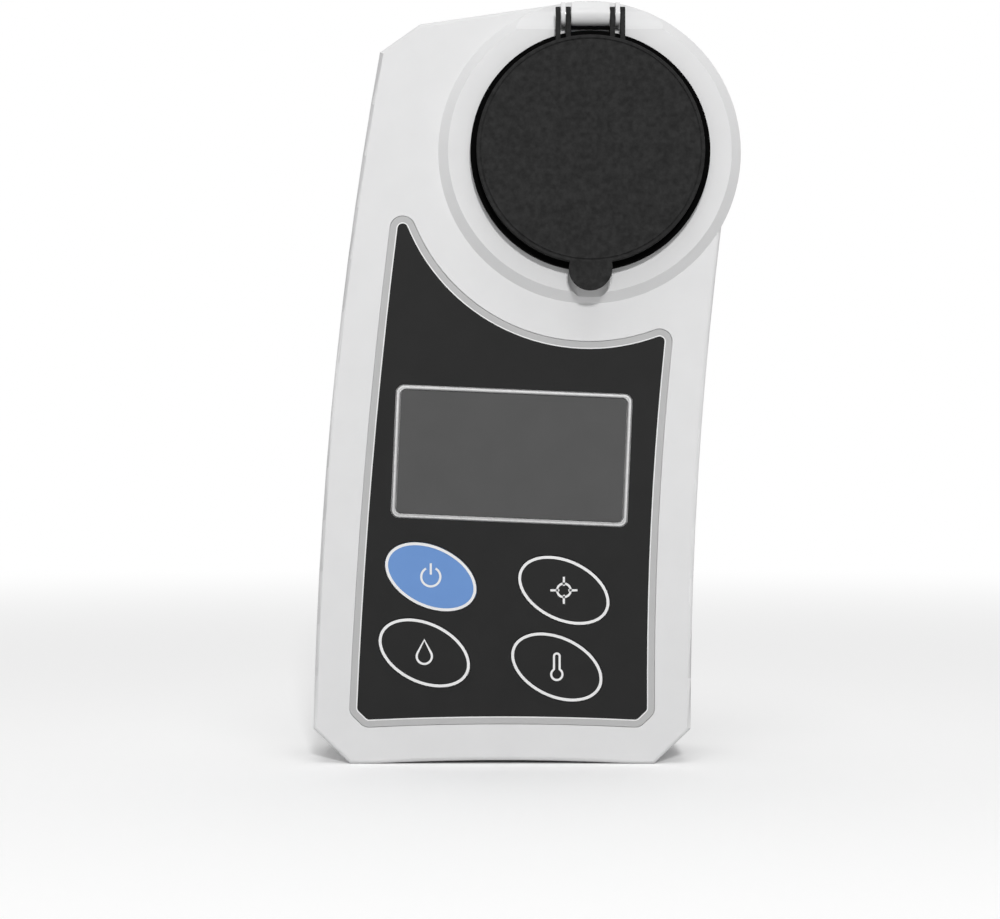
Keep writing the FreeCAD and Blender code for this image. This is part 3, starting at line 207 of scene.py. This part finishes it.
WINDOW = plastic("screen", grey(0.084), grey(0.09), 0.4, 0.3 * MM, 0.002 * MM, shine=0.08)
BEZEL = metal("bezel_metal", grey(0.36), grey(0.44), 0.4, 0.3 * MM, (1, 1, 1), 0.003 * MM)
# Painted shade for the middle of the bezel's face
BEZEL_SHADE = plastic("bezel_painted_shade", grey(0.4), grey(0.44), 0.5, 0.2 * MM, 0.002 * MM)

# Sample stage, fasteners and inside
STEEL = metal("dish_steel", grey(0.5), grey(0.62), 0.25, 0.5 * MM, (1, 8, 1), 0.004 * MM)
SCREW = metal("screw_steel", grey(0.4), grey(0.55), 0.35, 0.4 * MM, (1, 4, 1), 0.006 * MM)
NICKEL = metal("nickel", (0.55, 0.53, 0.48), (0.68, 0.66, 0.6), 0.3, 0.6 * MM, (1, 1, 5), 0.004 * MM)
GLASS = clear("optical_glass", (0.93, 0.96, 0.97), 0.02)
BOARD = plastic("board_mask", (0.012, 0.09, 0.035), (0.016, 0.12, 0.045), 0.35, 0.3 * MM, 0.004 * MM)
CHIP = plastic("moulded_black", grey(0.012), grey(0.02), 0.55, 0.3 * MM, 0.01 * MM)
TRAY = plastic("tray_plastic", grey(0.6), grey(0.66), 0.5, 0.3 * MM, 0.006 * MM)
LCD = plastic("lcd_glass", (0.09, 0.1, 0.08), (0.12, 0.13, 0.105), 0.12, 0.5 * MM, 0.001 * MM)
CELL = plastic("cell_jacket", (0.05, 0.055, 0.07), (0.07, 0.075, 0.09), 0.3, 0.8 * MM, 0.004 * MM)
CABLE = plastic("cable_jacket", grey(0.16), grey(0.2), 0.55, 0.3 * MM, 0.006 * MM)

# Painted shade: the lid's rim, and what lies behind it such as the hinge lugs, is coloured near-black for the
# shade there.
paint_shade_behind(LID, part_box("lid")[0][1] + LID_STEP, grey(0.0005))

FINISH = {
    SHELL: ["front_shell", "rear_shell", "battery_door"],
    RUBBER: ["shell_gasket", "door_seal", "lid_seal", "dish_seal"],
    LID: ["lid"],
    PANEL: ["panel_overlay", "calibrate_key", "measure_key", "temperature_key"],
    BLUE: ["power_key"],
    BEZEL: ["display_bezel"],
    WINDOW: ["display_window"],
    LCD: ["lcd_module"],
    TRAY: ["display_tray"],
    CHIP: ["key_switches", "board_chips", "optical_block", "light_source", "line_sensor"],
    BOARD: ["main_board", "sensor_board"],
    STEEL: ["sample_dish"],
    SCREW: ["hinge_pin", "housing_screws", "board_screws", "optics_screws", "door_screws"],
    GLASS: ["prism", "focus_lens"],
    NICKEL: ["temperature_probe", "battery_springs", "battery_contacts"],
    CELL: ["left_cell", "right_cell"],
    CABLE: ["optics_cable"],
}
for finish, names in FINISH.items():
    for name in names:
        mesh = NODES[name].data
        mesh.materials.clear()
        mesh.materials.append(finish)


# Closed outlines of a node's frontmost flat face, widest first, as points across and up.
def front_outlines(node):
    mesh = NODES[node].data
    front = min(v.co.y for v in mesh.vertices)
    near = 0.01 * MM
    uses = {}
    for face in mesh.polygons:
        places = [mesh.vertices[i].co for i in face.vertices]
        if all(p.y - front < near for p in places):
            keys = [(round(p.x / near), round(p.z / near)) for p in places]
            for i, a in enumerate(keys):
                b = keys[(i + 1) % len(keys)]
                uses[a, b] = uses.get((a, b), 0) + 1
    follow = {a: b for (a, b) in uses if (b, a) not in uses}
    loops = []
    while follow:
        loop, here = [], next(iter(follow))
        while here in follow:
            loop.append(here)
            here = follow.pop(here)
        loops.append([Vector((x * near, z * near)) for x, z in loop])
    loops.sort(key=lambda points: max(p.x for p in points) - min(p.x for p in points), reverse=True)
    return loops, front


# A closed outline moved to its inner side by a distance; a sharp corner moves a limited way.
def inset(points, distance):
    area = sum(a.x * b.y - b.x * a.y for a, b in zip(points, points[1:] + points[:1]))
    turn = 1 if area > 0 else -1
    moved = []
    for i, here in enumerate(points):
        before, after = points[i - 1], points[(i + 1) % len(points)]
        a, b = (here - before).normalized(), (after - here).normalized()
        normals = [Vector((-d.y, d.x)) * turn for d in (a, b)]
        middle = (normals[0] + normals[1]).normalized()
        moved.append(here + middle * (distance / max(0.3, middle.dot(normals[0]))))
    return moved


# A flat printed piece made of faces given as points across and up.
def printed(name, points, faces, y, material, body):
    mesh = bpy.data.meshes.new(name)
    mesh.from_pydata([(p[0], y - PRINT_LIFT, p[1]) for p in points], [], faces)
    mesh.materials.append(material)
    piece = bpy.data.objects.new(name, mesh)
    bpy.context.scene.collection.objects.link(piece)
    if mesh.polygons[0].normal.y > 0:
        mesh.flip_normals()
    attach(piece, body)


# Faces of a strip between two rows of as many points each.
def strip(count, closed):
    last = count if closed else count - 1
    return [(i, (i + 1) % count, count + (i + 1) % count, count + i) for i in range(last)]


# A printed band between two insets of one outline.
def printed_band(name, outline, outer, inner, y, material, body):
    points = inset(outline, outer) + inset(outline, inner)
    printed(name, points, strip(len(outline), True), y, material, body)


# A printed white stroke through a list of points.
def printed_stroke(name, points, y, body, closed=False):
    count = len(points)
    sides = []
    for i, here in enumerate(points):
        before = points[i - 1] if i or closed else here
        after = points[(i + 1) % count] if i < count - 1 or closed else here
        along = (after - before).normalized()
        sides.append((here, Vector((-along.y, along.x)) * STROKE / 2))
    corners = [p + n for p, n in sides] + [p - n for p, n in sides]
    printed(name, corners, strip(count, closed), y, WHITE, body)


# Points on an arc between two angles in degrees.
def arc(centre, radius, start, end, steps=32):
    return [centre + Vector((math.cos(a), math.sin(a))) * radius
            for a in (math.radians(start + (end - start) * i / steps) for i in range(steps + 1))]


def up(distance):
    return Vector((0, distance))


# Printing on the panel, and painted shade along the display frame
outlines, panel_y = front_outlines("panel_overlay")
printed_band("panel_border", outlines[0], 0, BORDER_WIDTH, panel_y, BORDER, "housing")
printed_band("panel_border_line", outlines[0], BORDER_WIDTH, BORDER_LINE, panel_y, WHITE, "housing")
outlines, bezel_y = front_outlines("display_bezel")
# Painted shade: a darker band between the bezel's two bright edges
printed_band("bezel_shade_line", outlines[0], BEZEL_SHADE_START, BEZEL_SHADE_END, bezel_y, BEZEL_SHADE, "housing")

# Outline of each key
KEY_MIDDLES = {}
for key in ("power", "calibrate", "measure", "temperature"):
    outlines, key_y = front_outlines(key + "_key")
    printed_band(key + "_outline", outlines[0], 0, KEY_LINE, key_y, WHITE, key + "_button")
    low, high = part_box(key + "_key")
    KEY_MIDDLES[key] = Vector(((low[0] + high[0]) / 2, (low[2] + high[2]) / 2))

# Plain sign on each key: power, target, drop and thermometer
middle = KEY_MIDDLES["power"]
printed_stroke("power_sign_ring", arc(middle, POWER_RING, 120, 420), key_y, "power_button")
bar = [middle + up(POWER_BAR_LOW), middle + up(POWER_BAR_HIGH)]
printed_stroke("power_sign_bar", bar, key_y, "power_button")
middle = KEY_MIDDLES["calibrate"]
ring = arc(middle, TARGET_RING, 0, 360)[:-1]
printed_stroke("calibrate_sign_ring", ring, key_y, "calibrate_button", closed=True)
for i in range(4):
    way = Vector((math.cos(i * math.pi / 2), math.sin(i * math.pi / 2)))
    tick = [middle + way * TICK_START, middle + way * TICK_END]
    printed_stroke("calibrate_sign_tick_%d" % i, tick, key_y, "calibrate_button")
middle = KEY_MIDDLES["measure"]
drop = [middle + up(DROP_TIP)] + arc(middle - up(DROP_LOW), DROP_RADIUS, 150, 390)
printed_stroke("measure_sign_drop", drop, key_y, "measure_button", closed=True)
middle = KEY_MIDDLES["temperature"]
bulb = arc(middle - up(BULB_LOW), BULB_RADIUS, 120, 420)
stem = [middle + Vector((STEM_RADIUS, STEM_TOP))] + arc(middle + up(STEM_TOP), STEM_RADIUS, 0, 180, 12)
printed_stroke("temperature_sign", bulb + stem, key_y, "temperature_button", closed=True)

# Camera
camera_data = bpy.data.cameras.new("camera")
camera_data.lens = LENS
camera_data.sensor_width = SENSOR
camera_data.sensor_fit = "HORIZONTAL"
camera_data.clip_start, camera_data.clip_end = CLIP_NEAR, CLIP_FAR
camera = bpy.data.objects.new("camera", camera_data)
bpy.context.scene.collection.objects.link(camera)
camera.location = (CAMERA_X, panel_y - CAMERA_DISTANCE, CAMERA_HEIGHT)
camera.rotation_euler = (math.pi / 2, 0, 0)
bpy.context.scene.camera = camera


# A square light that faces the object's middle.
def area_light(name, distance, height_angle, side_angle, side, watts):
    data = bpy.data.lights.new(name, "AREA")
    data.shape = "RECTANGLE"
    data.size = data.size_y = side
    data.energy = watts
    light = bpy.data.objects.new(name, data)
    bpy.context.scene.collection.objects.link(light)
    height_angle, side_angle = math.radians(height_angle), math.radians(side_angle)
    level = distance * math.cos(height_angle)
    light.location = (level * math.sin(side_angle), -level * math.cos(side_angle),
                      LIGHT_AIM[2] + distance * math.sin(height_angle))
    light.rotation_euler = (Vector(LIGHT_AIM) - light.location).to_track_quat("-Z", "Y").to_euler()


# Key light in front, a little to the right and small enough for crisp shadows, and a soft one above
area_light("key_light", *KEY_LIGHT)
area_light("top_light", *TOP_LIGHT)


# One where a surface or the world is seen directly, in a reflection or through glass.
def seen(tree):
    path = tree.nodes.new("ShaderNodeLightPath")
    value = path.outputs["Is Camera Ray"]
    for name in ("Is Glossy Ray", "Is Transmission Ray"):
        step = tree.nodes.new("ShaderNodeMath")
        step.operation = "MAXIMUM"
        tree.links.new(value, step.inputs[0])
        tree.links.new(path.outputs[name], step.inputs[1])
        value = step.outputs["Value"]
    return value


# World: seen as white, and lighting the object with the leaning fill
world = bpy.data.worlds.new("studio")
world.use_nodes = True
bpy.context.scene.world = world
tree = world.node_tree
background = tree.nodes["Background"]
background.inputs["Color"].default_value = (1, 1, 1, 1)
direction = tree.nodes.new("ShaderNodeTexCoord")
lean = tree.nodes.new("ShaderNodeVectorMath")
lean.operation = "DOT_PRODUCT"
lean.inputs[1].default_value = FILL_LEAN
tree.links.new(direction.outputs["Generated"], lean.inputs[0])
leaned = remapped(tree, lean.outputs["Value"], -1, 1, 0, 2 * FILL)
strength = remapped(tree, seen(tree), 0, 1, FILL, WHITE_LEVEL)
tree.links.new(leaned.outputs["Result"], strength.inputs["To Min"])
tree.links.new(strength.outputs["Result"], background.inputs["Strength"])

# Floor that fades to the white backdrop away from the object
floor_mesh = bpy.data.meshes.new("floor")
corners = [(x * FLOOR_REACH, y * FLOOR_REACH, 0) for x, y in ((-1, -1), (1, -1), (1, 1), (-1, 1))]
floor_mesh.from_pydata(corners, [], [(0, 1, 2, 3)])
floor = bpy.data.objects.new("floor", floor_mesh)
bpy.context.scene.collection.objects.link(floor)
paper, tree, shader = new_material("floor_paper", grey(FLOOR_TONE), 0.9)
shown = tree.nodes.new("ShaderNodeBsdfDiffuse")
shown.inputs["Color"].default_value = (*grey(FLOOR_SHOWN), 1)
glow = tree.nodes.new("ShaderNodeEmission")
place = tree.nodes.new("ShaderNodeTexCoord")
length = tree.nodes.new("ShaderNodeVectorMath")
length.operation = "LENGTH"
tree.links.new(place.outputs["Object"], length.inputs[0])
fade = remapped(tree, length.outputs["Value"], FADE_START, FADE_END, 0, 1)
fade.interpolation_type = "SMOOTHSTEP"
far_mix = tree.nodes.new("ShaderNodeMixShader")
tree.links.new(fade.outputs["Result"], far_mix.inputs["Fac"])
tree.links.new(shown.outputs["BSDF"], far_mix.inputs[1])
tree.links.new(glow.outputs["Emission"], far_mix.inputs[2])
mix = tree.nodes.new("ShaderNodeMixShader")
tree.links.new(seen(tree), mix.inputs["Fac"])
tree.links.new(shader.outputs["BSDF"], mix.inputs[1])
tree.links.new(far_mix.outputs["Shader"], mix.inputs[2])
tree.links.new(mix.outputs["Shader"], tree.nodes["Material Output"].inputs["Surface"])
floor_mesh.materials.append(paper)

bpy.context.scene.view_settings.view_transform = "Standard"
